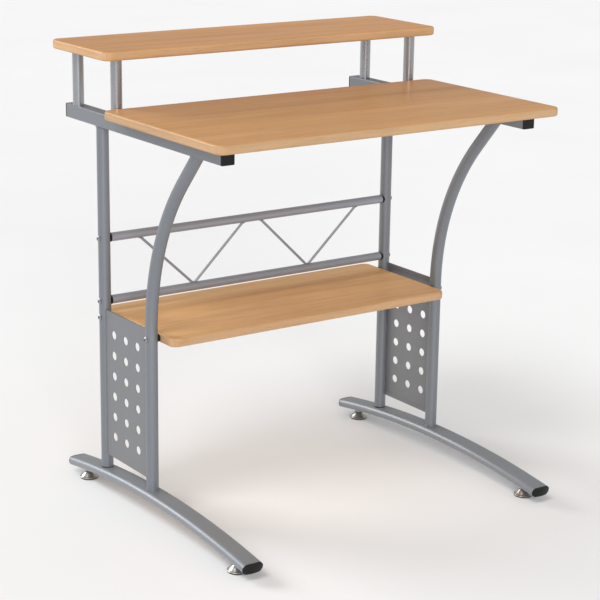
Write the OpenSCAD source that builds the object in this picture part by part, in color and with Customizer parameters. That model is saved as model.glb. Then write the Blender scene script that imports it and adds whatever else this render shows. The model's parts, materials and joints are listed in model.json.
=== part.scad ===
// Compact computer desk: two tubular side frames on arched feet carry a desktop, a raised
// shelf behind it and a low shelf between the frames. A trussed brace ties the frames at the
// back. Four glides screw in and out of the feet to level the desk.
// X runs along the desk, Y from front to back, Z up from the floor. All sizes in millimetres.

/* [Boards] */
// Width of the desktop
desk_w = 711; // [680:1:760]
// Depth of the desktop, front to back
desk_d = 375; // [370:1:378]
// Thickness of all three boards
board_t = 16; // [15:0.5:18]
// Height of the desktop's upper face above the floor
desk_top_z = 721; // [715:1:730]
// Width of the raised shelf
raised_w = 715; // [680:1:760]
// Depth of the raised shelf
raised_d = 201; // [195:1:204]
// Clear height of the posts under the raised shelf
raised_post_h = 101; // [90:1:130]
// Depth of the low shelf
low_d = 252; // [230:1:254]
// Height of the low shelf's upper face above the floor
low_top_z = 340; // [338:1:341]
// Radius of the boards' corners, seen from above
corner_r = 16; // [10:1:25]
// Radius that the boards' long edges are rounded to
edge_r = 4; // [2:0.5:6]

/* [Side frames] */
// Distance from the desk's middle to the middle of each side frame
frame_x = 314.5; // [312:0.5:318]
// Outside width and height of the square top rails
rail_s = 25; // [25:0.5:26]
// Outside diameter of the rear posts and the front legs
tube_d = 22; // [21:0.5:22]
// Wall of every frame tube
wall = 1.5; // [1.2:0.1:1.6]
// Distance from the middle of the foot to the front leg's foot end
leg_y = 23; // [22:0.5:24]
// Distance from the middle of the foot to the rear post
post_y = 187; // [186:0.5:188]
// Bend radius of the front leg, to the tube's middle
leg_bend_r = 430; // [425:1:435]

/* [Feet] */
// Width of the flat oval foot tube
foot_w = 40; // [38:0.5:42]
// Thickness of the flat oval foot tube
foot_t = 17; // [16.5:0.5:17.5]
// Radius of the foot's arch, to the tube's middle
foot_arch_r = 2000; // [1900:10:2200]
// Height of the foot tube's middle at the top of its arch
foot_apex_z = 45; // [44.8:0.1:45.4]
// Distance from the foot's middle to the end of its tube
foot_half = 299; // [296:0.5:301]
// Distance from the foot's middle to its front glide
glide_front = 254; // [252:0.5:258]
// Distance from the foot's middle to its rear glide
glide_rear = 258.5; // [256:0.5:260]

/* [Panels] */
// Diameter of the panels' holes
hole_d = 15.5; // [12:0.5:18]
// Rows of holes in each panel
hole_rows = 6; // [3:1:6]
// Columns of holes in each panel
hole_cols = 3; // [1:1:3]

/* [Back brace] */
// Outside diameter of the two cross tubes
brace_d = 16; // [15:0.5:17]
// Diameter of the zig-zag rods
rod_d = 5; // [5:0.5:6]

/* [Raised shelf posts] */
// Outside diameter of the posts
raised_post_d = 20; // [19:0.5:21]

/* [Hidden] */
$fn = 72;
ARC_FN = 720;
LEFT = -1;
RIGHT = 1;
FRONT = -1;
REAR = 1;
EPS = 0.01;
FIT = 0.05;

STEEL = [0.56, 0.57, 0.59];
WOOD = [0.80, 0.62, 0.44];
BLACK = [0.13, 0.13, 0.14];
ZINC = [0.72, 0.73, 0.74];
NICKEL = [0.78, 0.76, 0.72];

// Heights
board_z = desk_top_z - board_t;
rail_z = board_z - rail_s;
raised_z = board_z + raised_post_h;
low_z = low_top_z - board_t;

// Front to back places
desk_front_y = -259;
desk_mid_y = desk_front_y + desk_d / 2;
raised_rear_y = 297;
raised_mid_y = raised_rear_y - raised_d / 2;
low_rear_y = 226;
low_mid_y = low_rear_y - low_d / 2;
rail_front_y = -221;
rail_rear_y = 299;
rail_cap_t = 2;
rail_corner_r = 2;
rail_inner_r = 1;
raised_post_ys = [130, 268];
desk_screw_ys = [-190, 80];

// Side to side places
raised_post_x = frame_x + 3;
panel_x = frame_x + 4.7;
spacer_t = 3;
spacer_r = 7;
low_w = 2 * (frame_x - tube_d / 2 - spacer_t);

// Front leg
leg_bend_z = 342;
leg_bend = acos(0.752192);

// Foot
foot_end_a = asin(foot_half / foot_arch_r);
foot_top_r = foot_arch_r + foot_t / 2;
gasket_t = 2;
gasket_inset = 0.3;
foot_cap_play = 0.3;

// Panels
panel_t = 1.2;
panel_top_z = 348.5;
panel_bottom_z = 73.5;
hem_h = 8;
hole_pitch_y = 41.5;
hole_pitch_z = 38.5;

// Back brace
brace_zs = [362, 477.5];
collar_t = 1.2;
collar_lip = 0.4;
brace_half = frame_x - tube_d / 2 - collar_t;
rod_outer_x = 243;
rod_low_x = 128;
rod_inner_x = 18;
rod_sink = 3;

// Hardware: nominal radii and lengths
m6_r = 3;
m8_r = 4;
hole_clear = 0.3;
m6_socket_r = 2.3;
m6_socket_h = 2;
button_r = 5.25;
button_h = 3.3;
button_dome_r = 6.5;
cap_head_r = 5;
cap_head_h = 6;
access_r = 6;
insert_len = 20;
tip_gap = 4;
board_insert_r = 5;
board_insert_len = 12;
board_tip_gap = 2;
foot_nut_len = 22;
foot_head_r = 6.5;
foot_head_h = 4;
foot_socket_r = 2.9;
foot_socket_h = 2.5;
foot_access_r = 8;

// Glides
glide_r = 17.5;
pad_t = 2;
pad_inset = 0.7;
base_rim_h = 1.5;
dome_top_z = 13;
hex_r = 7.5;
hex_bottom_z = 13.3;
hex_top_z = 18.2;
stud_top_z = 33.5;
glide_nut_r = 5.5;
glide_nut_z = [18.5, 30];
ball_z = [2.3, 6];
ball_r = 6;
turn_gap = 0.3;

// ---- Outlines ----

// Rectangle with round corners, centred
module rounded_rect(w, d, r) {
    square([w - 2 * r, d], center = true);
    square([w, d - 2 * r], center = true);
    for (sx = [-1, 1], sy = [-1, 1])
        translate([sx * (w / 2 - r), sy * (d / 2 - r)])
            circle(r);
}

// Flat oval: t across, w long, with half-round ends
module flat_oval(t, w) {
    square([t, w - t], center = true);
    for (s = [-1, 1])
        translate([0, s * (w - t) / 2])
            circle(d = t);
}

// ---- Placing ----

module both_sides() {
    for (side = [LEFT, RIGHT])
        scale_side(side)
            children();
}

// Children are drawn for the right side, and mirrored for the left
module scale_side(side) {
    if (side == LEFT)
        mirror([1, 0, 0])
            children();
    else
        children();
}

// A cylinder along +X, from x0 to x1
module rod_x(x0, x1, r) {
    translate([x0, 0, 0])
        rotate([0, 90, 0])
            cylinder(r = r, h = x1 - x0);
}

// Sweeps an outline round a circle in the YZ plane, from angle a0 to a1 measured from +Z to +Y
module arc_yz(centre_y, centre_z, radius, a0, a1) {
    translate([0, centre_y, centre_z])
        rotate([0, -90, 0])
            rotate([0, 0, a0])
                rotate_extrude(angle = a1 - a0, $fn = ARC_FN)
                    translate([radius, 0])
                        children();
}

// Height of the foot tube's middle at a distance y from the foot's middle
function foot_mid_z(y) = foot_apex_z - foot_arch_r + sqrt(pow(foot_arch_r, 2) - pow(y, 2));
function foot_top_z(y) = foot_apex_z - foot_arch_r + sqrt(pow(foot_top_r, 2) - pow(y, 2));
function tube_start_z(y) = foot_top_z(y) + gasket_t;
function glide_y(end) = end == FRONT ? -glide_front : glide_rear;

// ---- Boards ----

// Rounded border of a board in section: from the border's inner line out to the edge
module border_section() {
    square([corner_r - edge_r, board_t]);
    translate([0, edge_r])
        square([corner_r, board_t - 2 * edge_r]);
    for (z = [edge_r, board_t - edge_r])
        translate([corner_r - edge_r, z])
            circle(r = edge_r);
}

// A flat core with a rounded border: two borders along X, two along Y and four quarter turns
module board_solid(w, d) {
    core_w = w - 2 * corner_r;
    core_d = d - 2 * corner_r;
    translate([-core_w / 2, -core_d / 2, 0])
        cube([core_w, core_d, board_t]);
    for (turn = [0, 180])
        rotate([0, 0, turn]) {
            translate([core_w / 2, core_d / 2, 0])
                rotate([90, 0, 0])
                    linear_extrude(core_d)
                        border_section();
            translate([-core_w / 2, core_d / 2, 0])
                rotate([90, 0, 90])
                    linear_extrude(core_w)
                        border_section();
            translate([core_w / 2, core_d / 2, 0])
                rotate_extrude(angle = 90)
                    border_section();
            translate([-core_w / 2, core_d / 2, 0])
                rotate([0, 0, 90])
                    rotate_extrude(angle = 90)
                        border_section();
        }
}

// A board with its upper face at top_z, and blind holes for its inserts cut by the children
module board(w, d, mid_y, top_z) {
    difference() {
        translate([0, mid_y, top_z - board_t])
            board_solid(w, d);
        children();
    }
}

module desktop() {
    color(WOOD)
        board(desk_w, desk_d, desk_mid_y, desk_top_z)
            both_sides()
                for (y = desk_screw_ys)
                    translate([frame_x, y, board_z - EPS])
                        cylinder(r = board_insert_r, h = board_insert_len + EPS);
}

module raised_shelf() {
    color(WOOD)
        board(raised_w, raised_d, raised_mid_y, raised_z + board_t)
            both_sides()
                for (y = raised_post_ys)
                    translate([raised_post_x, y, raised_z - EPS])
                        cylinder(r = board_insert_r, h = board_insert_len + EPS);
}

module low_shelf() {
    color(WOOD)
        board(low_w, low_d, low_mid_y, low_top_z)
            both_sides()
                for (y = [leg_y, post_y])
                    translate([0, y, low_z + board_t / 2])
                        rod_x(low_w / 2 - insert_len, low_w / 2 + 1, board_insert_r);
}

// ---- Side frames ----

module square_tube_outline() {
    difference() {
        rounded_rect(rail_s, rail_s, rail_corner_r);
        rounded_rect(rail_s - 2 * wall, rail_s - 2 * wall, rail_inner_r);
    }
}

// A clearance hole in a rail's upper wall and a wider one for the screw's head in its lower wall
module rail_screw_holes() {
    translate([0, 0, -1])
        cylinder(r = access_r, h = 1 + wall + 1);
    cylinder(r = m6_r + hole_clear, h = rail_s + 1);
}

// Square rail with the holes of the raised posts' bolts and of the desktop's screws
module top_rail(side) {
    color(STEEL)
        scale_side(side)
            difference() {
                translate([frame_x, rail_rear_y - rail_cap_t, rail_z + rail_s / 2])
                    rotate([90, 0, 0])
                        linear_extrude(rail_rear_y - rail_front_y - 2 * rail_cap_t)
                            square_tube_outline();
                for (y = raised_post_ys)
                    translate([raised_post_x, y, rail_z])
                        rail_screw_holes();
                for (y = desk_screw_ys)
                    translate([frame_x, y, rail_z])
                        rail_screw_holes();
            }
}

module rail_cap(side, end) {
    face_y = end == FRONT ? rail_front_y : rail_rear_y;
    stub = 12;
    inner_s = rail_s - 2 * wall - 2 * FIT;
    color(BLACK)
        scale_side(side)
            translate([frame_x, face_y, rail_z + rail_s / 2])
                rotate([end == FRONT ? -90 : 90, 0, 0]) {
                    linear_extrude(rail_cap_t)
                        rounded_rect(rail_s, rail_s, rail_corner_r);
                    translate([0, 0, rail_cap_t])
                        linear_extrude(stub)
                            rounded_rect(inner_s, inner_s, rail_inner_r);
                }
}

// Holes through a tube for the bolts that run along X at the heights zs
module cross_holes(y, zs) {
    for (z = zs)
        translate([0, y, z])
            rod_x(frame_x - tube_d, frame_x + tube_d, m6_r + hole_clear);
}

module rear_post(side) {
    z0 = tube_start_z(post_y);
    color(STEEL)
        scale_side(side)
            difference() {
                translate([frame_x, post_y, z0])
                    cylinder(d = tube_d, h = rail_z - z0);
                translate([frame_x, post_y, z0 - 1])
                    cylinder(d = tube_d - 2 * wall, h = rail_z - z0 + 2);
                cross_holes(post_y, concat(brace_zs, [low_z + board_t / 2]));
            }
}

// A bend of a round tube: from the X axis to the given angle, round Z
module tube_bend(d, radius, angle) {
    reach = radius + d;
    intersection() {
        rotate_extrude($fn = ARC_FN)
            translate([radius, 0])
                circle(d = d);
        translate([0, 0, -d])
            cube([reach, reach, 2 * d]);
        rotate([0, 0, angle])
            translate([0, -reach, -d])
                cube([reach, reach, 2 * d]);
    }
}

// Path of the front leg: upright, then bent forward, then straight up to the rail
module leg_path(d, past) {
    upright = leg_bend_z - tube_start_z(leg_y);
    straight = (rail_z - leg_bend_z - leg_bend_r * sin(leg_bend)) / cos(leg_bend) + tube_d;
    translate([frame_x, leg_y - leg_bend_r, leg_bend_z])
        rotate([90, 0, 90]) {
            translate([leg_bend_r, 0, 0])
                rotate([90, 0, 0])
                    cylinder(d = d, h = upright + past);
            tube_bend(d, leg_bend_r, leg_bend);
            rotate([0, 0, leg_bend])
                translate([leg_bend_r, 0, 0])
                    rotate([-90, 0, 0])
                        cylinder(d = d, h = straight + past);
        }
}

module front_leg(side) {
    color(STEEL)
        scale_side(side)
            difference() {
                leg_path(tube_d, 0);
                leg_path(tube_d - 2 * wall, 1);
                translate([frame_x - rail_s, rail_front_y, rail_z])
                    cube([2 * rail_s, rail_rear_y - rail_front_y, 2 * rail_s]);
                cross_holes(leg_y, [low_z + board_t / 2]);
            }
}

// Sheet with folded upper and lower edges and a grid of holes, let into the two tubes
module side_panel(side) {
    mid_y = (leg_y + post_y) / 2;
    mid_z = (panel_top_z + panel_bottom_z) / 2;
    h = panel_top_z - panel_bottom_z;
    color(STEEL)
        scale_side(side)
            difference() {
                union() {
                    translate([panel_x - panel_t / 2, leg_y, panel_bottom_z])
                        cube([panel_t, post_y - leg_y, h]);
                    for (z = [panel_bottom_z, panel_top_z - hem_h])
                        translate([panel_x - panel_t * 1.5, leg_y, z])
                            cube([panel_t + EPS, post_y - leg_y, hem_h]);
                }
                for (c = [0 : hole_cols - 1], r = [0 : hole_rows - 1])
                    translate([
                        0,
                        mid_y + (c - (hole_cols - 1) / 2) * hole_pitch_y,
                        mid_z + (r - (hole_rows - 1) / 2) * hole_pitch_z
                    ])
                        rod_x(panel_x - tube_d, panel_x + tube_d, hole_d / 2);
                leg_path(tube_d, 0);
                translate([frame_x, post_y, 0])
                    cylinder(d = tube_d, h = rail_z);
            }
}

// ---- Feet ----

module foot_solid(t, w, past_a) {
    translate([frame_x, 0, 0])
        arc_yz(0, foot_apex_z - foot_arch_r, foot_arch_r, -foot_end_a - past_a, foot_end_a + past_a)
            flat_oval(t, w);
}

module foot_bar(side) {
    color(STEEL)
        scale_side(side)
            difference() {
                foot_solid(foot_t, foot_w, 0);
                foot_solid(foot_t - 2 * wall, foot_w - 2 * wall, 1);
                for (y = [leg_y, post_y])
                    translate([frame_x, y, 0]) {
                        cylinder(r = m8_r + hole_clear, h = 2 * foot_apex_z);
                        cylinder(r = foot_access_r, h = foot_mid_z(y));
                    }
                for (end = [FRONT, REAR])
                    translate([frame_x, glide_y(end), 0])
                        cylinder(r = glide_nut_r + FIT, h = foot_mid_z(glide_y(end)));
            }
}

// Domed plug in the end of a foot
module foot_cap(side, end) {
    flange = 5;
    dome_r = 62;
    stub = 14;
    inset = wall + foot_cap_play;
    color(BLACK)
        scale_side(side)
            translate([frame_x, 0, foot_apex_z - foot_arch_r])
                rotate([0, -90, 0])
                    rotate([0, 0, end * foot_end_a])
                        translate([foot_arch_r, 0, 0])
                            rotate([-end * 90, 0, 0]) {
                                intersection() {
                                    linear_extrude(flange)
                                        flat_oval(foot_t, foot_w);
                                    translate([0, 0, flange - dome_r])
                                        sphere(r = dome_r, $fn = 180);
                                }
                                translate([0, 0, -stub])
                                    linear_extrude(stub)
                                        flat_oval(foot_t - 2 * inset, foot_w - 2 * inset);
                            }
}

// Black ring between a tube's flat end and the sloping foot it stands on
module foot_gaskets() {
    color(BLACK)
        both_sides()
            for (y = [leg_y, post_y])
                translate([frame_x, y, foot_top_z(y)])
                    difference() {
                        translate([0, 0, -gasket_t])
                            cylinder(d = tube_d - 2 * gasket_inset, h = 2 * gasket_t);
                        translate([0, 0, -gasket_t - 1])
                            cylinder(r = m8_r + hole_clear, h = 2 * gasket_t + 2);
                        rotate([-asin(y / foot_top_r), 0, 0])
                            translate([-foot_w / 2, -foot_w / 2, -foot_w])
                                cube([foot_w, foot_w, foot_w]);
                    }
}

module foot_nuts() {
    color(ZINC)
        both_sides()
            for (y = [leg_y, post_y])
                translate([frame_x, y, tube_start_z(y)])
                    difference() {
                        cylinder(r = tube_d / 2 - wall - FIT, h = foot_nut_len);
                        translate([0, 0, -1])
                            cylinder(r = m8_r + FIT, h = foot_nut_len + 2);
                    }
}

// Screws that rise from inside each foot into the tubes, their heads just under its upper wall
module foot_bolts() {
    seat_drop = 0.8;
    color(ZINC)
        both_sides()
            for (y = [leg_y, post_y])
                translate([frame_x, y, foot_top_z(y) - wall - seat_drop]) {
                    difference() {
                        translate([0, 0, -foot_head_h])
                            cylinder(r = foot_head_r, h = foot_head_h);
                        translate([0, 0, -foot_head_h - EPS])
                            cylinder(r = foot_socket_r, h = foot_socket_h, $fn = 6);
                    }
                    cylinder(r = m8_r, h = wall + seat_drop + gasket_t + foot_nut_len - tip_gap);
                }
}

// ---- Glides ----

module glide_nuts() {
    color(ZINC)
        both_sides()
            for (end = [FRONT, REAR])
                translate([frame_x, glide_y(end), glide_nut_z[0]])
                    difference() {
                        cylinder(r = glide_nut_r, h = glide_nut_z[1] - glide_nut_z[0]);
                        translate([0, 0, -1])
                            cylinder(r = m8_r, h = glide_nut_z[1]);
                    }
}

// Bell-shaped base that turns freely on the stud's foot
module glide_base(side, end) {
    rise = dome_top_z - pad_t - base_rim_h;
    dome_r = (pow(glide_r, 2) + pow(rise, 2)) / (2 * rise);
    color(NICKEL)
        scale_side(side)
            translate([frame_x, glide_y(end), 0])
                difference() {
                    union() {
                        translate([0, 0, pad_t])
                            cylinder(r = glide_r, h = base_rim_h);
                        intersection() {
                            translate([0, 0, dome_top_z - dome_r])
                                sphere(r = dome_r, $fn = 180);
                            translate([0, 0, pad_t + base_rim_h])
                                cylinder(r = glide_r, h = rise);
                        }
                    }
                    cylinder(r = ball_r + turn_gap, h = ball_z[1] + turn_gap);
                    cylinder(r = m8_r + FIT, h = dome_top_z + 1);
                }
}

module glide_pad(side, end) {
    color(BLACK)
        scale_side(side)
            translate([frame_x, glide_y(end), 0])
                cylinder(r = glide_r - pad_inset, h = pad_t);
}

// Threaded stud with a hexagon for a spanner and a round foot held inside the base
module glide_stud(side, end) {
    color(NICKEL)
        scale_side(side)
            translate([frame_x, glide_y(end), 0]) {
                translate([0, 0, ball_z[0]])
                    cylinder(r = ball_r, h = ball_z[1] - ball_z[0]);
                translate([0, 0, ball_z[0]])
                    cylinder(r = m8_r - FIT, h = stud_top_z - ball_z[0]);
                translate([0, 0, hex_bottom_z])
                    cylinder(r = hex_r, h = hex_top_z - hex_bottom_z, $fn = 6);
            }
}

// ---- Back brace ----

module brace_tube(z) {
    color(STEEL)
        translate([0, post_y, z])
            difference() {
                rod_x(-brace_half, brace_half, brace_d / 2);
                rod_x(-brace_half - 1, brace_half + 1, brace_d / 2 - wall);
            }
}

// Rod between the two tubes, from x_top at the upper one to x_low at the lower one
module brace_rod(x_top, x_low) {
    z_low = brace_zs[0] + brace_d / 2 - rod_sink;
    z_top = brace_zs[1] - brace_d / 2 + rod_sink;
    run = x_top - x_low;
    rise = z_top - z_low;
    color(STEEL)
        difference() {
            translate([x_low, post_y, z_low])
                rotate([0, atan2(run, rise), 0])
                    cylinder(d = rod_d, h = norm([run, rise]));
            for (z = brace_zs)
                translate([0, post_y, z])
                    rod_x(-brace_half, brace_half, brace_d / 2);
        }
}

// Black saddle between a brace tube's end and the round post
module brace_collars() {
    color(BLACK)
        both_sides()
            for (z = brace_zs)
                difference() {
                    translate([0, post_y, z])
                        rod_x(brace_half, frame_x, brace_d / 2 + collar_lip);
                    translate([frame_x, post_y, z - brace_d])
                        cylinder(d = tube_d, h = 2 * brace_d);
                    translate([0, post_y, z])
                        rod_x(brace_half - 1, frame_x, m6_r + hole_clear);
                }
}

module brace_inserts() {
    color(ZINC)
        both_sides()
            for (z = brace_zs)
                translate([0, post_y, z])
                    difference() {
                        rod_x(brace_half - insert_len, brace_half, brace_d / 2 - wall - FIT);
                        rod_x(brace_half - insert_len - 1, brace_half + 1, m6_r + FIT);
                    }
}

// Button-headed screw along X: its head outside the frame tube, its tip at x_tip
module button_screw_x(x_tip) {
    x_seat = frame_x + tube_d / 2;
    translate([x_seat, 0, 0])
        rotate([0, 90, 0]) {
            translate([0, 0, x_tip - x_seat])
                cylinder(r = m6_r, h = x_seat - x_tip);
            difference() {
                intersection() {
                    cylinder(r = button_r, h = button_h);
                    translate([0, 0, button_h - button_dome_r])
                        sphere(r = button_dome_r);
                }
                translate([0, 0, button_h - m6_socket_h])
                    cylinder(r = m6_socket_r, h = m6_socket_h + EPS, $fn = 6);
            }
        }
}

module brace_bolts() {
    color(ZINC)
        both_sides()
            for (z = brace_zs)
                translate([0, post_y, z])
                    button_screw_x(brace_half - insert_len + tip_gap);
}

// ---- Low shelf fixings ----

module low_shelf_bolts() {
    color(ZINC)
        both_sides()
            for (y = [leg_y, post_y])
                translate([0, y, low_z + board_t / 2])
                    button_screw_x(low_w / 2 - insert_len + tip_gap);
}

module low_shelf_spacers() {
    color(BLACK)
        both_sides()
            for (y = [leg_y, post_y])
                difference() {
                    translate([0, y, low_z + board_t / 2])
                        rod_x(low_w / 2, frame_x, spacer_r);
                    translate([frame_x, y, low_z])
                        cylinder(d = tube_d, h = board_t);
                    translate([0, y, low_z + board_t / 2])
                        rod_x(low_w / 2 - 1, frame_x, m6_r + hole_clear);
                }
}

module low_shelf_inserts() {
    color(ZINC)
        both_sides()
            for (y = [leg_y, post_y])
                translate([0, y, low_z + board_t / 2])
                    difference() {
                        rod_x(low_w / 2 - insert_len, low_w / 2, board_insert_r - FIT);
                        rod_x(low_w / 2 - insert_len - 1, low_w / 2 + 1, m6_r + FIT);
                    }
}

// ---- Raised shelf ----

module raised_post(side, y) {
    color(STEEL)
        scale_side(side)
            translate([raised_post_x, y, board_z])
                difference() {
                    cylinder(d = raised_post_d, h = raised_post_h);
                    translate([0, 0, -1])
                        cylinder(d = raised_post_d - 2 * wall, h = raised_post_h + 2);
                }
}

// Bushes that centre each post on its bolt, one at each end
module raised_post_bushes() {
    bush_h = 8;
    color(BLACK)
        both_sides()
            for (y = raised_post_ys, z = [board_z, raised_z - bush_h])
                translate([raised_post_x, y, z])
                    difference() {
                        cylinder(r = raised_post_d / 2 - wall - FIT, h = bush_h);
                        translate([0, 0, -1])
                            cylinder(r = m6_r + FIT, h = bush_h + 2);
                    }
}

// Upright screw with its head inside a rail, against the upper wall, and its tip at tip_z
module cap_screw_up(tip_z) {
    seat_z = board_z - wall;
    translate([0, 0, seat_z])
        cylinder(r = m6_r, h = tip_z - seat_z);
    difference() {
        translate([0, 0, seat_z - cap_head_h])
            cylinder(r = cap_head_r, h = cap_head_h);
        translate([0, 0, seat_z - cap_head_h - EPS])
            cylinder(r = m6_socket_r, h = m6_socket_h, $fn = 6);
    }
}

module raised_post_bolts() {
    color(ZINC)
        both_sides()
            for (y = raised_post_ys)
                translate([raised_post_x, y, 0])
                    cap_screw_up(raised_z + board_insert_len - board_tip_gap);
}

// Threaded insert let into a board's underside
module board_insert(z) {
    translate([0, 0, z])
        difference() {
            cylinder(r = board_insert_r - FIT, h = board_insert_len);
            translate([0, 0, -1])
                cylinder(r = m6_r + FIT, h = board_insert_len + 2);
        }
}

module raised_shelf_inserts() {
    color(ZINC)
        both_sides()
            for (y = raised_post_ys)
                translate([raised_post_x, y, 0])
                    board_insert(raised_z);
}

// ---- Desktop fixings ----

module desktop_screws() {
    color(ZINC)
        both_sides()
            for (y = desk_screw_ys)
                translate([frame_x, y, 0])
                    cap_screw_up(board_z + board_insert_len - board_tip_gap);
}

module desktop_inserts() {
    color(ZINC)
        both_sides()
            for (y = desk_screw_ys)
                translate([frame_x, y, 0])
                    board_insert(board_z);
}

// ---- Drawing ----

desktop();
raised_shelf();
low_shelf();
top_rail(LEFT);  // left_top_rail
top_rail(RIGHT);  // right_top_rail
rear_post(LEFT);  // left_rear_post
rear_post(RIGHT);  // right_rear_post
front_leg(LEFT);  // left_front_leg
front_leg(RIGHT);  // right_front_leg
side_panel(LEFT);  // left_side_panel
side_panel(RIGHT);  // right_side_panel
foot_bar(LEFT);  // left_foot_bar
foot_bar(RIGHT);  // right_foot_bar
rail_cap(LEFT, FRONT);  // rail_cap_front_left
rail_cap(RIGHT, FRONT);  // rail_cap_front_right
rail_cap(LEFT, REAR);  // rail_cap_rear_left
rail_cap(RIGHT, REAR);  // rail_cap_rear_right
foot_cap(LEFT, FRONT);  // foot_cap_front_left
foot_cap(RIGHT, FRONT);  // foot_cap_front_right
foot_cap(LEFT, REAR);  // foot_cap_rear_left
foot_cap(RIGHT, REAR);  // foot_cap_rear_right
brace_tube(brace_zs[1]);  // upper_brace_tube
brace_tube(brace_zs[0]);  // lower_brace_tube
brace_rod(-rod_outer_x, -rod_low_x);  // brace_rod_left_outer
brace_rod(-rod_inner_x, -rod_low_x);  // brace_rod_left_inner
brace_rod(rod_inner_x, rod_low_x);  // brace_rod_right_inner
brace_rod(rod_outer_x, rod_low_x);  // brace_rod_right_outer
brace_collars();
brace_inserts();
brace_bolts();
raised_post(LEFT, raised_post_ys[0]);  // raised_post_front_left
raised_post(RIGHT, raised_post_ys[0]);  // raised_post_front_right
raised_post(LEFT, raised_post_ys[1]);  // raised_post_rear_left
raised_post(RIGHT, raised_post_ys[1]);  // raised_post_rear_right
raised_post_bushes();
raised_post_bolts();
raised_shelf_inserts();
desktop_screws();
desktop_inserts();
low_shelf_bolts();
low_shelf_spacers();
low_shelf_inserts();
foot_gaskets();
foot_nuts();
foot_bolts();
glide_nuts();
glide_base(LEFT, FRONT);  // glide_base_front_left
glide_base(RIGHT, FRONT);  // glide_base_front_right
glide_base(LEFT, REAR);  // glide_base_rear_left
glide_base(RIGHT, REAR);  // glide_base_rear_right
glide_pad(LEFT, FRONT);  // glide_pad_front_left
glide_pad(RIGHT, FRONT);  // glide_pad_front_right
glide_pad(LEFT, REAR);  // glide_pad_rear_left
glide_pad(RIGHT, REAR);  // glide_pad_rear_right
glide_stud(LEFT, FRONT);  // glide_stud_front_left
glide_stud(RIGHT, FRONT);  // glide_stud_front_right
glide_stud(LEFT, REAR);  // glide_stud_rear_left
glide_stud(RIGHT, REAR);  // glide_stud_rear_right
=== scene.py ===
"""Looks of the compact computer desk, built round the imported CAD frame. Lengths are in metres."""

import json
import math
import random

import bmesh
import bpy
from mathutils import Matrix, Vector


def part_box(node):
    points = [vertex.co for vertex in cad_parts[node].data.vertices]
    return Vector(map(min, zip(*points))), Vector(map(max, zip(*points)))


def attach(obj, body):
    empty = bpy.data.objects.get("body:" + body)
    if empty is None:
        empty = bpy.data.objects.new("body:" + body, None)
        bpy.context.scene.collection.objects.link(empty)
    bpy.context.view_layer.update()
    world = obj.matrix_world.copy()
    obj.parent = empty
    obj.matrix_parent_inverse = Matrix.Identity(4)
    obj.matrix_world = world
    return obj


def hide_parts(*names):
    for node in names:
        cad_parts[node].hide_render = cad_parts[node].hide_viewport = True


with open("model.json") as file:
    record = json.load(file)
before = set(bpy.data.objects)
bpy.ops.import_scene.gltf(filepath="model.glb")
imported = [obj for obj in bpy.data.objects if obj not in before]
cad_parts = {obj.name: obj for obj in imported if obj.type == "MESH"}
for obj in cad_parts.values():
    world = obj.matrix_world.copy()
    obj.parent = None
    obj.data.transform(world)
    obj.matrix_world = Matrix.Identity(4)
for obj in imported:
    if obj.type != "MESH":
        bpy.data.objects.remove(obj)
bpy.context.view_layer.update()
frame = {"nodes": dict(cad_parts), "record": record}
NODES = frame["nodes"]
MM = 0.001
rng = random.Random(7)

# ---------------------------------------------------------------- camera

# Fitted to the desk's outline at the photograph's viewing angle
CAMERA_PLACE = Vector((-1.8586, -2.6338, 1.2650))
CAMERA_YAW = 0.6100
CAMERA_PITCH = 0.2736
CAMERA_ROLL = 0.0143
CAMERA_LENS_MM = 110.86
SENSOR_MM = 36.0
FAR_CLIP = 100


def make_camera():
    """A pinhole camera with no shift: yaw to the right of +Y, pitch down, then roll."""
    ahead = Vector(
        (
            math.sin(CAMERA_YAW) * math.cos(CAMERA_PITCH),
            math.cos(CAMERA_YAW) * math.cos(CAMERA_PITCH),
            -math.sin(CAMERA_PITCH),
        )
    )
    right = Vector((math.cos(CAMERA_YAW), -math.sin(CAMERA_YAW), 0))
    up = right.cross(ahead)
    rolled_right = right * math.cos(CAMERA_ROLL) + up * math.sin(CAMERA_ROLL)
    rolled_up = up * math.cos(CAMERA_ROLL) - right * math.sin(CAMERA_ROLL)
    turn = Matrix((rolled_right, rolled_up, -ahead)).transposed()
    data = bpy.data.cameras.new("camera")
    data.sensor_width = SENSOR_MM
    data.lens = CAMERA_LENS_MM
    data.clip_end = FAR_CLIP
    camera = bpy.data.objects.new("camera", data)
    camera.matrix_world = Matrix.Translation(CAMERA_PLACE) @ turn.to_4x4()
    bpy.context.scene.collection.objects.link(camera)
    bpy.context.scene.camera = camera


# ---------------------------------------------------------------- node helpers


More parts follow.
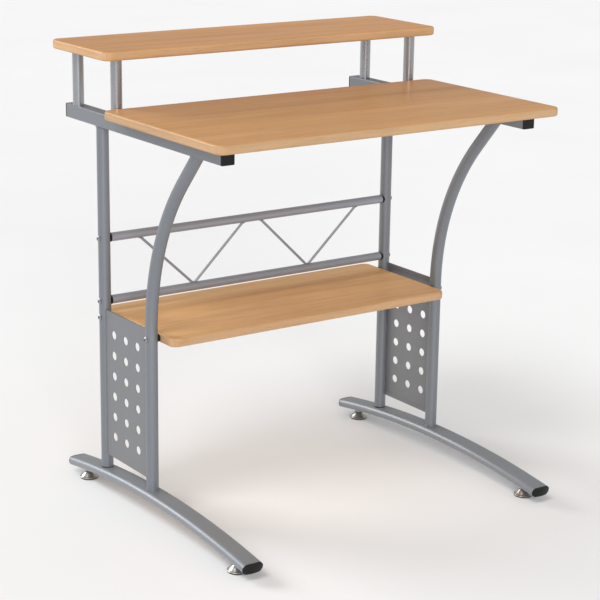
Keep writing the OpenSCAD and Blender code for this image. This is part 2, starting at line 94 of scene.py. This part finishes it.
class Tree:
    """A material's node tree, with short calls for the nodes that this file uses."""

    def __init__(self, name):
        self.material = bpy.data.materials.new(name)
        self.material.use_nodes = True
        self.nodes = self.material.node_tree.nodes
        self.links = self.material.node_tree.links
        self.shader = next(n for n in self.nodes if n.type == "BSDF_PRINCIPLED")
        self.place = self.nodes.new("ShaderNodeTexCoord").outputs["Object"]

    def set(self, **sockets):
        """Sets the shader's own sockets: coat_weight is the socket Coat Weight, and so on."""
        for name, value in sockets.items():
            socket = name.replace("_", " ").title().replace("Ior", "IOR")
            self.shader.inputs[socket].default_value = value

    def join(self, source, node, socket):
        self.links.new(source, node.inputs[socket])

    def scaled(self, scale, source=None, offset=(0, 0, 0)):
        node = self.nodes.new("ShaderNodeMapping")
        node.inputs["Scale"].default_value = scale
        node.inputs["Location"].default_value = offset
        self.join(source or self.place, node, "Vector")
        return node.outputs["Vector"]

    def noise(self, vector, scale=1.0, detail=2.0, roughness=0.5, distortion=0.0):
        node = self.nodes.new("ShaderNodeTexNoise")
        node.inputs["Scale"].default_value = scale
        node.inputs["Detail"].default_value = detail
        node.inputs["Roughness"].default_value = roughness
        node.inputs["Distortion"].default_value = distortion
        self.join(vector, node, "Vector")
        return node.outputs["Fac"]

    def ramp(self, source, *stops):
        """Stops are (position, grey) or (position, (r, g, b))."""
        node = self.nodes.new("ShaderNodeValToRGB")
        elements = node.color_ramp.elements
        while len(elements) < len(stops):
            elements.new(0.5)
        for element, (position, value) in zip(elements, stops):
            element.position = position
            colour = value if isinstance(value, tuple) else (value, value, value)
            element.color = (*colour, 1)
        self.join(source, node, "Fac")
        return node.outputs["Color"]

    def mix(self, factor, a, b, mode="MIX"):
        node = self.nodes.new("ShaderNodeMix")
        node.data_type = "RGBA"
        node.blend_type = mode
        for socket, value in (("Factor", factor), ("A", a), ("B", b)):
            target = next(s for s in node.inputs if s.name == socket and s.enabled)
            if isinstance(value, (int, float)):
                target.default_value = value if socket == "Factor" else (value, value, value, 1)
            elif isinstance(value, tuple):
                target.default_value = (*value, 1)
            else:
                self.links.new(value, target)
        return next(s for s in node.outputs if s.enabled)

    def math(self, operation, a, b=0.0):
        node = self.nodes.new("ShaderNodeMath")
        node.operation = operation
        for index, value in enumerate((a, b)):
            if isinstance(value, (int, float)):
                node.inputs[index].default_value = value
            else:
                self.links.new(value, node.inputs[index])
        return node.outputs["Value"]

    def average(self, a, b):
        return self.math("ADD", self.math("MULTIPLY", a, 0.5), self.math("MULTIPLY", b, 0.5))

    def spread(self, source, low, high):
        """A 0 to 1 value carried to the range from low to high."""
        node = self.nodes.new("ShaderNodeMapRange")
        node.inputs["To Min"].default_value = low
        node.inputs["To Max"].default_value = high
        self.join(source, node, "Value")
        return node.outputs["Result"]

    def bump(self, height, distance, strength=1.0, under=None):
        node = self.nodes.new("ShaderNodeBump")
        node.inputs["Distance"].default_value = distance
        node.inputs["Strength"].default_value = strength
        self.join(height, node, "Height")
        if under:
            self.join(under, node, "Normal")
        return node.outputs["Normal"]

    def edges(self, radius):
        """1 on worn edges, 0 elsewhere: how far a bevelled normal turns from the true one."""
        bevel = self.nodes.new("ShaderNodeBevel")
        bevel.samples = 4
        bevel.inputs["Radius"].default_value = radius
        true = self.nodes.new("ShaderNodeNewGeometry").outputs["Normal"]
        dot = self.nodes.new("ShaderNodeVectorMath")
        dot.operation = "DOT_PRODUCT"
        self.links.new(bevel.outputs["Normal"], dot.inputs[0])
        self.links.new(true, dot.inputs[1])
        return self.ramp(dot.outputs["Value"], (0.75, 1.0), (0.98, 0.0))

    def finish(self, colour, roughness, normal=None):
        self.join(colour, self.shader, "Base Color")
        self.join(roughness, self.shader, "Roughness")
        if normal:
            self.join(normal, self.shader, "Normal")
        return self.material


# ---------------------------------------------------------------- materials


BEECH_TONES = (
    (0.30, (0.485, 0.240, 0.090)),
    (0.44, (0.555, 0.290, 0.117)),
    (0.57, (0.596, 0.319, 0.132)),
    (0.72, (0.525, 0.266, 0.102)),
)
WARM_STREAK = (0.93, 0.80, 0.66)
GRAIN_SWAY = (0.0, 1.0, 0.6)
SWAY_SIZE = 0.030


def beech_laminate(name, offset, board_tint_and_painted_light, edge_tint_and_painted_light):
    """Printed beech: broad soft bands, fine lines and short pores along the board.

    The grain turns on the end faces. The board tint multiplies the whole colour: the board's own tone
    on the desktop and the raised shelf, painted light on the low shelf.
    The edge tint gives the upright edge faces a paler edge band, partly the band's own colour and
    partly painted light for the front light on the edges.
    """
    t = Tree(name)
    t.set(specular_ior_level=0.04, coat_weight=0.20, coat_roughness=0.24)
    facing = t.nodes.new("ShaderNodeSeparateXYZ")
    normal = t.nodes.new("ShaderNodeNewGeometry").outputs["Normal"]
    t.join(normal, facing, "Vector")
    end_face = t.math("GREATER_THAN", t.math("ABSOLUTE", facing.outputs["X"]), 0.72)
    upright = t.ramp(t.math("ABSOLUTE", facing.outputs["Z"]), (0.45, 1.0), (0.90, 0.0))
    lengthwise = t.scaled((1, 1, 1), offset=offset)
    turned = t.scaled((1, 1, 1), offset=(offset[1], offset[0], offset[2]))
    turned.node.inputs["Rotation"].default_value = (0, 0, math.pi / 2)
    grain = t.mix(end_face, lengthwise, turned)
    warp = t.noise(t.scaled((2.2, 9, 9), grain), detail=3)
    bent = t.nodes.new("ShaderNodeVectorMath")
    bent.operation = "MULTIPLY_ADD"
    t.join(t.mix(1.0, warp, GRAIN_SWAY, "MULTIPLY"), bent, 0)
    bent.inputs[1].default_value = (SWAY_SIZE, SWAY_SIZE, SWAY_SIZE)
    t.links.new(grain, bent.inputs[2])
    flow = bent.outputs["Vector"]
    bands = t.noise(t.scaled((0.55, 11, 11), flow), detail=3, roughness=0.55)
    lines = t.noise(t.scaled((4.5, 130, 130), flow), detail=5, roughness=0.62)
    streaks = t.noise(t.scaled((6.0, 48, 48), flow), detail=3, distortion=0.6)
    pores = t.noise(t.scaled((34, 900, 900), flow), detail=2, roughness=0.5)
    patches = t.noise(t.scaled((3.0, 4.0, 4.0), grain), detail=2)
    # Board tint over the whole colour: own tone on the desktop and raised shelf, painted light on the
    # low shelf
    tone = t.mix(1.0, t.ramp(bands, *BEECH_TONES), board_tint_and_painted_light, "MULTIPLY")
    fine = t.ramp(lines, (0.32, 0.85), (0.52, 1.0), (0.72, 1.07))
    tone = t.mix(0.80, tone, fine, "MULTIPLY")
    warmer = t.mix(1.0, tone, WARM_STREAK, "MULTIPLY")
    tone = t.mix(t.ramp(streaks, (0.54, 0.0), (0.68, 0.36)), tone, warmer)
    tone = t.mix(0.50, tone, t.ramp(pores, (0.30, 0.72), (0.44, 1.0)), "MULTIPLY")
    tone = t.mix(0.35, tone, t.ramp(patches, (0.30, 0.90), (0.70, 1.06)), "MULTIPLY")
    # Paler upright edge faces: partly the edge band's own colour, partly painted light for the front
    # light falling on the board edges
    edge_band_and_painted_light = t.mix(1.0, tone, edge_tint_and_painted_light, "MULTIPLY")
    colour = t.mix(upright, tone, edge_band_and_painted_light)
    roughness = t.spread(t.average(lines, patches), 0.34, 0.47)
    relief = t.bump(pores, 0.06 * MM, 0.5, t.bump(lines, 0.10 * MM, 0.35))
    return t.finish(colour, roughness, relief)


ROUGHNESS_SPAN = 0.16


def powder_coat(name, base, seed, metallic=0.32, smoothest=0.34, texture=1.0):
    """Satin powder coat: orange-peel relief, faint clouds, metallic fleck and rubbed edges."""
    t = Tree(name)
    t.set(metallic=metallic, specular_ior_level=0.5, coat_weight=0.25, coat_roughness=0.32)
    place = t.scaled((1, 1, 1), offset=(seed, seed * 0.7, seed * 1.3))
    clouds = t.noise(place, scale=14, detail=3)
    fleck = t.noise(place, scale=2600, detail=1)
    peel = t.noise(place, scale=620, detail=2, roughness=0.45)
    colour = t.mix(0.5, base, t.ramp(clouds, (0.25, 0.93), (0.75, 1.06)), "MULTIPLY")
    sparkle = t.ramp(fleck, (0.40, 0.86), (0.50, 1.0), (0.66, 1.22))
    colour = t.mix(0.45 * texture, colour, sparkle, "MULTIPLY")
    rubbed = tuple(min(1.0, c * 1.35) for c in base)
    colour = t.mix(t.math("MULTIPLY", t.edges(0.9 * MM), 0.45), colour, rubbed)
    mottle = t.math("ADD", t.math("MULTIPLY", peel, 0.4), t.math("MULTIPLY", clouds, 0.6))
    roughness = t.spread(mottle, smoothest, smoothest + ROUGHNESS_SPAN)
    relief = t.bump(peel, 0.12 * MM, 0.45 * texture)
    return t.finish(colour, roughness, relief)


def moulded_plastic(name, base, low, high, grain):
    """Black moulded plastic with a fine spark-eroded grain."""
    t = Tree(name)
    t.set(specular_ior_level=0.26)
    fine = t.noise(t.place, scale=grain, detail=3, roughness=0.6)
    broad = t.noise(t.place, scale=60, detail=2)
    colour = t.mix(0.8, base, t.ramp(broad, (0.3, 0.75), (0.7, 1.3)), "MULTIPLY")
    rubbed = tuple(c * 2.6 for c in base)
    colour = t.mix(t.math("MULTIPLY", t.edges(0.7 * MM), 0.5), colour, rubbed)
    roughness = t.spread(fine, low, high)
    return t.finish(colour, roughness, t.bump(fine, 0.5 * MM, 0.9))


TURNING_RINGS = (60, 60, 2600)
SCUFFS = (700, 700, 700)


def plated_metal(name, base, low, high, turned):
    """Plated steel: faint turning rings or random scuffs, and darker, rougher blotches."""
    t = Tree(name)
    t.set(metallic=1.0)
    blotch = t.noise(t.place, scale=70, detail=3)
    scuff = t.noise(t.scaled(TURNING_RINGS if turned else SCUFFS), detail=2)
    colour = t.mix(0.6, base, t.ramp(blotch, (0.30, 0.82), (0.70, 1.08)), "MULTIPLY")
    rubbed = tuple(min(1.0, c * 1.2) for c in base)
    colour = t.mix(t.math("MULTIPLY", t.edges(0.5 * MM), 0.4), colour, rubbed)
    roughness = t.spread(t.average(scuff, blotch), low, high)
    return t.finish(colour, roughness, t.bump(scuff, 0.05 * MM, 0.4))


STEEL = (0.192, 0.206, 0.229)
POST_STEEL = (0.330, 0.342, 0.360)
# Painted light: a lighter, bluer copy of the coat for the brace, standing in for light lost in the
# shade under the desktop and for the warm wood it reflects
BRACE_STEEL_PAINTED_LIGHT = (0.300, 0.325, 0.370)
PANEL_STEEL = (0.188, 0.194, 0.206)
# Painted light: a lighter, bluer copy of the coat for the foot bars, standing in for light on their
# tops and against the warm wood they reflect
FOOT_STEEL_PAINTED_LIGHT = (0.236, 0.252, 0.277)
WELD_STEEL = tuple(c * 0.94 for c in STEEL)
BLACK = (0.006, 0.006, 0.007)
RUBBER = (0.016, 0.016, 0.016)
ZINC = (0.36, 0.37, 0.39)
NICKEL = (0.50, 0.48, 0.45)
MATERIALS = {
    "desktop": beech_laminate(
        "beech_desktop", offset=(0.0, 0.0, 0.0), board_tint_and_painted_light=(1.02, 1.01, 1.0), edge_tint_and_painted_light=(0.94, 1.14, 1.55)
    ),
    "raised_shelf": beech_laminate(
        "beech_raised", offset=(3.1, 0.7, 0.2), board_tint_and_painted_light=(1.06, 1.01, 0.96), edge_tint_and_painted_light=(1.05, 1.30, 1.80)
    ),
    # Painted light: the low shelf's tint lightens and cools it in place of the light that the desktop
    # above shades off it; its edge tint is lower, so the edges, which stay lit from the front, are
    # lifted less
    "low_shelf": beech_laminate(
        "beech_low_painted_light", offset=(9.2, 2.75, 0.5), board_tint_and_painted_light=(1.26, 1.41, 1.54), edge_tint_and_painted_light=(0.80, 0.86, 1.08)
    ),
    "powder_coat": powder_coat("powder_coat", STEEL, 0.0),
    "post_coat": powder_coat(
        "powder_coat_posts", POST_STEEL, 2.0, metallic=0.70, smoothest=0.20, texture=0.25
    ),
    # Brace: a lightened copy of the coat, painted light
    "brace_coat_painted_light": powder_coat("powder_coat_brace_painted_light", BRACE_STEEL_PAINTED_LIGHT, 6.0, metallic=0.25),
    # Feet: a lightened copy of the coat, painted light
    "foot_coat_painted_light": powder_coat("powder_coat_feet_painted_light", FOOT_STEEL_PAINTED_LIGHT, 8.0, metallic=0.28, smoothest=0.38),
    "panel_coat": powder_coat("powder_coat_panels", PANEL_STEEL, 9.0),
    "weld": powder_coat("powder_coat_weld", WELD_STEEL, 4.0),
    "black_plastic": moulded_plastic("black_plastic", BLACK, low=0.20, high=0.55, grain=260),
    "zinc": plated_metal("zinc_plate", ZINC, low=0.24, high=0.44, turned=False),
    "nickel": plated_metal("nickel_plate", NICKEL, low=0.24, high=0.40, turned=True),
    "glide_pad": moulded_plastic("pad_rubber", RUBBER, low=0.55, high=0.75, grain=1400),
}
BOARDS = ("desktop", "raised_shelf", "low_shelf")
COATS = {
    "raised_post_front": "post_coat",
    "raised_post_rear": "post_coat",
    "upper_brace_tube": "brace_coat_painted_light",
    "lower_brace_tube": "brace_coat_painted_light",
    "brace_rod": "brace_coat_painted_light",
    "left_foot_bar": "foot_coat_painted_light",
    "right_foot_bar": "foot_coat_painted_light",
    "left_side_panel": "panel_coat",
    "right_side_panel": "panel_coat",
}


def dress_nodes():
    """Gives every CAD node its material: a board's own, a variant of the coat, or its slot's."""
    slots = {s["node"]: s["material_slot"] for s in frame["record"]["subparts"]}
    for name, obj in NODES.items():
        kind = name if name in BOARDS else slots[name]
        for start, coat in COATS.items():
            if name.startswith(start):
                kind = coat
        if obj.material_slots:
            for slot in obj.material_slots:
                slot.material = MATERIALS[kind]
        else:
            obj.data.materials.append(MATERIALS[kind])


# ---------------------------------------------------------------- piece helpers


def add_piece(name, mesh, material, body):
    mesh.materials.append(MATERIALS[material])
    piece = bpy.data.objects.new(name, mesh)
    bpy.context.scene.collection.objects.link(piece)
    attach(piece, body)
    return piece


def smooth_mesh(bm, name, sharp_deg):
    """Turns a bmesh into a mesh, shaded smooth except at edges sharper than the angle."""
    bmesh.ops.recalc_face_normals(bm, faces=bm.faces)
    limit = math.radians(sharp_deg)
    for face in bm.faces:
        face.smooth = True
    for edge in bm.edges:
        if len(edge.link_faces) == 2 and edge.calc_face_angle(0) > limit:
            edge.smooth = False
    mesh = bpy.data.meshes.new(name)
    bm.to_mesh(mesh)
    bm.free()
    return mesh


def angles(count):
    return [2 * math.pi * k / count for k in range(count)]


def ring(bm, centre, radii, z):
    """Vertices round the upright axis through centre, one for each radius."""
    return [
        bm.verts.new(centre + Vector((r * math.cos(a), r * math.sin(a), z)))
        for r, a in zip(radii, angles(len(radii)))
    ]


def skin(bm, a, b):
    """Quads between two rings that have the same number of vertices."""
    for k in range(len(a)):
        j = (k + 1) % len(a)
        bm.faces.new((a[k], a[j], b[j], b[k]))


def stack(bm, rows):
    """A closed skin over rings from bottom to top, with flat ends."""
    for a, b in zip(rows, rows[1:]):
        skin(bm, a, b)
    bm.faces.new(list(reversed(rows[0])))
    bm.faces.new(rows[-1])


# ---------------------------------------------------------------- welds

BEAD = 1.3 * MM
TACK_BEAD = 1.1 * MM
TACK_LENGTH = 16 * MM
TACK_POINTS = 12
TACK_PLACES = (0.10, 0.50, 0.90)
TACK_INSET = 0.7 * MM
ROD_BEAD = 0.9 * MM
SKIRT_RINGS = ((0.2 * MM, 1.0 * MM), (1.5 * MM, 1.2 * MM))
WELD_SHARP_DEG = 60
# Cosine of the angle between the front legs' upper ends and the upright
LEG_BEND_COS = 0.752192
# Any direction that no seam runs along, to start each bead's cross-section from
SIDE_HINT = Vector((0.13, 0.21, 0.97))


def weld_bead(bm, path, radius, ripple, closed, sides=8):
    """A weld bead swept along a path of points, with the ripples of a run of welding."""
    count = len(path)
    rings = []
    for i, point in enumerate(path):
        before = path[i - 1] if closed or i else path[i]
        after = path[(i + 1) % count] if closed or i < count - 1 else path[i]
        along = (after - before).normalized()
        side = along.cross(SIDE_HINT).normalized()
        lift = side.cross(along).normalized()
        end = 1.0 if closed else math.sin(math.pi * min(1, max(0.06, (i + 0.5) / count))) ** 0.35
        size = radius * end * (1 + ripple * math.sin(i * 2.1) + 0.08 * rng.uniform(-1, 1))
        section = [point + (side * math.cos(a) + lift * math.sin(a)) * size for a in angles(sides)]
        rings.append([bm.verts.new(place) for place in section])
    for i in range(count if closed else count - 1):
        skin(bm, rings[i], rings[(i + 1) % count])
    if not closed:
        bm.faces.new(rings[0])
        bm.faces.new(list(reversed(rings[-1])))


def round_seam(centre, rx, ry, z, points=56):
    return [
        Vector((centre.x + rx * math.cos(a), centre.y + ry * math.sin(a), z)) for a in angles(points)
    ]


def add_weld(name, bm):
    add_piece(name, smooth_mesh(bm, "weld", WELD_SHARP_DEG), "weld", "frame")


def add_frame_welds(side):
    """Beads where the post and the leg meet the rail, and tacks between the panel and its tubes."""
    bm = bmesh.new()
    post_lo, post_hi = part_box(f"{side}_rear_post")
    post = (post_lo + post_hi) / 2
    radius = (post_hi.x - post_lo.x) / 2
    seam = round_seam(post, radius, radius, post_hi.z - 0.5 * BEAD)
    weld_bead(bm, seam, BEAD, 0.10, True)
    leg_lo, leg_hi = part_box(f"{side}_front_leg")
    reach = radius / LEG_BEND_COS
    top = Vector(((leg_lo.x + leg_hi.x) / 2, leg_lo.y + reach, leg_hi.z))
    seam = round_seam(top, radius, reach, leg_hi.z - 0.4 * BEAD)
    weld_bead(bm, seam, BEAD, 0.10, True)
    panel_lo, panel_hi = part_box(f"{side}_side_panel")
    inner = panel_lo.x if side == "right" else panel_hi.x
    for y in (panel_lo.y + TACK_INSET, panel_hi.y - TACK_INSET):
        for part in TACK_PLACES:
            z = panel_lo.z + (panel_hi.z - panel_lo.z) * part
            path = [
                Vector((inner, y, z + TACK_LENGTH * (k / (TACK_POINTS - 1) - 0.5)))
                for k in range(TACK_POINTS)
            ]
            weld_bead(bm, path, TACK_BEAD, 0.12, False)
    add_weld(f"weld_{side}_frame", bm)


def add_brace_welds():
    """A small ring of weld at both ends of each zig-zag rod."""
    bm = bmesh.new()
    lower_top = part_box("lower_brace_tube")[1].z
    upper_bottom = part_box("upper_brace_tube")[0].z
    for name in ("left_outer", "left_inner", "right_inner", "right_outer"):
        lo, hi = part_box(f"brace_rod_{name}")
        thick = hi.y - lo.y
        falls = name in ("left_outer", "right_inner")
        x_top, x_low = (lo.x, hi.x) if falls else (hi.x, lo.x)
        inward = thick / 2 if falls else -thick / 2
        for x, z in ((x_top + inward, upper_bottom - 0.1 * MM), (x_low - inward, lower_top + 0.1 * MM)):
            centre = Vector((x, (lo.y + hi.y) / 2, z))
            seam = round_seam(centre, thick * 0.72, thick * 0.58, z, 24)
            weld_bead(bm, seam, ROD_BEAD, 0.12, True, 6)
    add_weld("weld_brace", bm)


def add_leg_skirts():
    """A run of weld that closes the front legs' lower ends down to the feet."""
    bm = bmesh.new()
    for side in ("left", "right"):
        lo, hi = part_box(f"{side}_front_leg")
        radius = (hi.x - lo.x) / 2
        centre = Vector(((lo.x + hi.x) / 2, hi.y - radius, 0))
        for drop, size in SKIRT_RINGS:
            weld_bead(bm, round_seam(centre, radius, radius, lo.z - drop), size, 0.06, True)
    add_weld("weld_leg_bases", bm)


# ---------------------------------------------------------------- softened CAD edges

RAIL_BEVEL = 0.7 * MM
RAIL_CAP_BEVEL = 0.9 * MM
FOOT_CAP_BEVEL = 0.8 * MM
BEVEL_SEGMENTS = 2
BEVEL_FROM_DEG = 32
MERGE_GAP = 0.002 * MM


def soften(node, width):
    """A narrow bevel on a CAD node's sharp edges, as a modifier, so its mesh stays as it is."""
    obj = NODES[node]
    weld = obj.modifiers.new("weld", "WELD")
    weld.merge_threshold = MERGE_GAP
    bevel = obj.modifiers.new("bevel", "BEVEL")
    bevel.width = width
    bevel.segments = BEVEL_SEGMENTS
    bevel.limit_method = "ANGLE"
    bevel.angle_limit = math.radians(BEVEL_FROM_DEG)
    bevel.use_clamp_overlap = True
    bevel.harden_normals = False


# ---------------------------------------------------------------- glides

PITCH = 1.25 * MM
THREAD_DEPTH = 0.42 * MM
STEPS_PER_TURN = 8
STUD_R = 3.95 * MM
STUD_SIDES = 36
STUD_FOOT_R = 6.0 * MM
STUD_FOOT_H = 3.7 * MM
STUD_FOOT_CHAMFER = 0.6 * MM
NECK_BOTTOM = 3.0 * MM
NECK_TOP = 13.5 * MM
HEXAGON_BOTTOM = 13.3 * MM
HEXAGON_TOP = 18.2 * MM
HEXAGON_CHAMFER = 0.7 * MM
HEXAGON_SIDES = 48
THREAD_BOTTOM = 18.0 * MM
STUD_SHARP_DEG = 30
# Radius and height in millimetres: out under the lip, up the cone, and down the bore
BELL = (
    (6.4, 2.0),
    (17.1, 2.0),
    (17.5, 2.3),
    (17.5, 3.0),
    (17.1, 3.5),
    (16.0, 3.9),
    (14.6, 4.9),
    (11.2, 8.2),
    (8.4, 11.2),
    (7.6, 12.2),
    (6.8, 12.8),
    (5.8, 13.0),
    (4.35, 13.0),
    (4.35, 6.4),
    (6.4, 6.4),
)
BELL_SIDES = 72
BELL_SHARP_DEG = 34


def axis_of(lo, hi):
    """The point on the floor plane under the middle of a box."""
    return Vector(((lo.x + hi.x) / 2, (lo.y + hi.y) / 2, 0))


def revolve(bm, profile, centre, sides):
    """A closed solid of revolution about Z from (radius, z) pairs, the ends on the axis."""
    rows = [ring(bm, centre, [r] * sides if r else [0.0], z) for r, z in profile]
    for a, b in zip(rows, rows[1:]):
        for k in range(sides):
            j = (k + 1) % sides
            corners = [a[k % len(a)], a[j % len(a)], b[j % len(b)], b[k % len(b)]]
            unique = list(dict.fromkeys(corners))
            if len(unique) > 2:
                bm.faces.new(unique)


def thread(bm, centre, z0, z1):
    """A screw thread: one closed skin whose radius follows the helix."""
    steps = int((z1 - z0) / (PITCH / STEPS_PER_TURN))
    rows = []
    for i in range(steps + 1):
        z = z0 + (z1 - z0) * i / steps
        fade = max(0, min(1, (z - z0) / PITCH, (z1 - z) / PITCH))
        radii = []
        for k in range(STUD_SIDES):
            phase = (z / PITCH - k / STUD_SIDES) % 1.0
            tooth = 1 - abs(2 * phase - 1)
            radii.append(STUD_R - THREAD_DEPTH * (1 - tooth * fade))
        rows.append(ring(bm, centre, radii, z))
    stack(bm, rows)


def hexagon_nut(bm, centre, corner, z0, z1):
    """A hexagon with its corners chamfered top and bottom by a cone, as turned nuts are."""
    flat = corner * math.cos(math.pi / 6)
    rows = []
    for z, limit in (
        (z0, flat * 0.97),
        (z0 + HEXAGON_CHAMFER, corner),
        (z1 - HEXAGON_CHAMFER, corner),
        (z1, flat * 0.97),
    ):
        radii = []
        for a in angles(HEXAGON_SIDES):
            from_corner = abs((a + math.pi / 6) % (math.pi / 3) - math.pi / 6)
            radii.append(min(flat / math.cos(math.pi / 6 - from_corner), limit))
        rows.append(ring(bm, centre, radii, z))
    stack(bm, rows)


def add_stud(end):
    """A threaded stud with a chamfered hexagon and a turned foot, in place of the plain CAD one."""
    node = f"glide_stud_{end}"
    lo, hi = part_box(node)
    centre = axis_of(lo, hi)
    bottom = lo.z
    top = lo.z + STUD_FOOT_H
    bm = bmesh.new()
    foot = (
        (0, bottom),
        (STUD_FOOT_R - STUD_FOOT_CHAMFER, bottom),
        (STUD_FOOT_R, bottom + STUD_FOOT_CHAMFER),
        (STUD_FOOT_R, top - STUD_FOOT_CHAMFER),
        (STUD_FOOT_R - STUD_FOOT_CHAMFER, top),
        (0, top),
    )
    revolve(bm, foot, centre, STUD_SIDES)
    neck_bottom = bottom + NECK_BOTTOM
    neck = ((0, neck_bottom), (STUD_R, neck_bottom), (STUD_R, NECK_TOP), (0, NECK_TOP))
    revolve(bm, neck, centre, STUD_SIDES)
    hexagon_nut(bm, centre, (hi.x - lo.x) / 2, HEXAGON_BOTTOM, HEXAGON_TOP)
    thread(bm, centre, THREAD_BOTTOM, hi.z)
    mesh = smooth_mesh(bm, node, STUD_SHARP_DEG)
    piece = add_piece(node + "_threaded", mesh, "nickel", f"stud_{end}")
    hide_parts(node)


def add_bell(end):
    """The glide's spun base: a rolled lip and a straight cone up to a round shoulder."""
    node = f"glide_base_{end}"
    centre = axis_of(*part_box(node))
    bm = bmesh.new()
    rows = [ring(bm, centre, [radius * MM] * BELL_SIDES, z * MM) for radius, z in BELL]
    for i, row in enumerate(rows):
        skin(bm, row, rows[(i + 1) % len(rows)])
    mesh = smooth_mesh(bm, node, BELL_SHARP_DEG)
    piece = add_piece(node + "_bell", mesh, "nickel", f"glide_{end}")
    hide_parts(node)


# ---------------------------------------------------------------- stage and light

FLOOR_HALF = 40.0
WORLD_STRENGTH = 0.48
# Name, heading (0 is +Y, 90 is +X), height above the floor, strength and spread, angles in degrees
SUNS = (
    ("key", 250, 56, 0.85, 24),
    ("front", 205, 14, 1.45, 24),
    ("rim", 332, 27, 1.50, 26),
)


def add_stage():
    floor = bpy.data.meshes.new("floor")
    corners = [(x * FLOOR_HALF, y * FLOOR_HALF, 0) for x, y in ((-1, -1), (1, -1), (1, 1), (-1, 1))]
    floor.from_pydata(corners, [], [(0, 1, 2, 3)])
    obj = bpy.data.objects.new("floor", floor)
    bpy.context.scene.collection.objects.link(obj)
    t = Tree("floor")
    t.set(specular_ior_level=0.2)
    soft = t.noise(t.place, scale=1.5, detail=2)
    grey = t.ramp(soft, (0.3, 0.90), (0.7, 0.92))
    floor.materials.append(t.finish(grey, t.spread(soft, 0.80, 0.90)))


def add_sun(name, heading_deg, height_deg, strength, spread_deg):
    data = bpy.data.lights.new(name, "SUN")
    data.energy = strength
    data.angle = math.radians(spread_deg)
    heading, height = math.radians(heading_deg), math.radians(height_deg)
    toward = Vector(
        (math.sin(heading) * math.cos(height), math.cos(heading) * math.cos(height), math.sin(height))
    )
    obj = bpy.data.objects.new(name, data)
    obj.rotation_euler = (-toward).to_track_quat("-Z", "Y").to_euler()
    bpy.context.scene.collection.objects.link(obj)


def add_lights():
    world = bpy.data.worlds.new("studio")
    bpy.context.scene.world = world
    world.use_nodes = True
    sky = world.node_tree.nodes["Background"]
    sky.inputs["Color"].default_value = (1.0, 1.0, 1.0, 1)
    sky.inputs["Strength"].default_value = WORLD_STRENGTH
    for sun in SUNS:
        add_sun(*sun)
    bpy.context.scene.view_settings.view_transform = "Standard"


# ---------------------------------------------------------------- build

make_camera()
dress_nodes()
for side in ("left", "right"):
    add_frame_welds(side)
    soften(f"{side}_top_rail", RAIL_BEVEL)
    for end in ("front", "rear"):
        soften(f"rail_cap_{end}_{side}", RAIL_CAP_BEVEL)
        soften(f"foot_cap_{end}_{side}", FOOT_CAP_BEVEL)
        add_stud(f"{end}_{side}")
        add_bell(f"{end}_{side}")
add_brace_welds()
add_leg_skirts()
add_stage()
add_lights()
